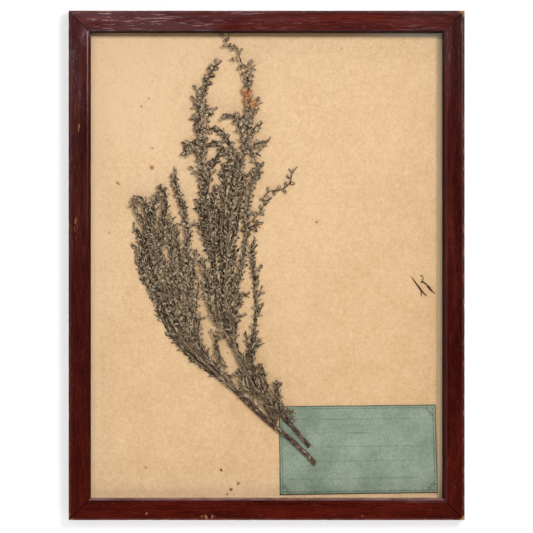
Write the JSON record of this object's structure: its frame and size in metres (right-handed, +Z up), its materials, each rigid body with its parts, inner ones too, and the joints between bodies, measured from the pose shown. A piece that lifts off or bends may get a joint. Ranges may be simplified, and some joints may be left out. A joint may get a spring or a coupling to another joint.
{
  "type": "pressed plant frame",
  "caption": "Glazed wall frame of dark red-brown mitred moulding with a dried leafy sprig and a green paper label on a buff sheet; a toothed hanger on the back holds it.",
  "frame": {"origin": "on the wall plane, behind the middle notch of the hanger", "axes": "+X to the right as seen from the front, +Y from the glass towards the wall, +Z up"},
  "size_m": [0.3264, 0.022, 0.42],
  "materials": {
    "frame_wood": "dark red-brown satin varnish with worn edges",
    "glazing": "clear float glass",
    "buff_paper": "aged buff paper with fox marks",
    "board_card": "grey-brown card",
    "label_paper": "aged green paper with ruled border",
    "steel": "dull steel",
    "brass": "brass plated",
    "stem_bark": "dry brown bark",
    "dry_leaf": "dry grey-olive leaves"
  },
  "bodies": {
    "root": {"rail_top": "frame_wood", "rail_bottom": "frame_wood", "stile_left": "frame_wood", "stile_right": "frame_wood", "glass": "glazing", "sheet": "buff_paper", "board": "board_card", "label": "label_paper", "brad_rail_top_1": "steel", "brad_rail_top_2": "steel", "brad_rail_bottom_1": "steel", "brad_rail_bottom_2": "steel", "brad_stile_left_1": "steel", "brad_stile_left_2": "steel", "brad_stile_left_3": "steel", "brad_stile_right_1": "steel", "brad_stile_right_2": "steel", "brad_stile_right_3": "steel", "hanger": "brass", "hanger_nail_left": "steel", "hanger_nail_right": "steel", "long_stem": "stem_bark", "short_stem": "stem_bark", "side_twig_upper": "stem_bark", "side_twig_lower": "stem_bark", "left_spray_outer": "dry_leaf", "left_spray_middle": "dry_leaf", "left_spray_inner": "dry_leaf", "tall_trunk": "dry_leaf", "tall_spray_left": "dry_leaf", "tall_spray_main": "dry_leaf", "tall_spray_centre": "dry_leaf", "tall_spray_right": "dry_leaf", "right_twig": "dry_leaf", "slender_spray": "dry_leaf", "edge_spray": "dry_leaf", "hanging_twig": "dry_leaf", "base_spray": "dry_leaf", "fragment_left": "stem_bark", "fragment_right": "stem_bark"}
  },
  "joints": []
}
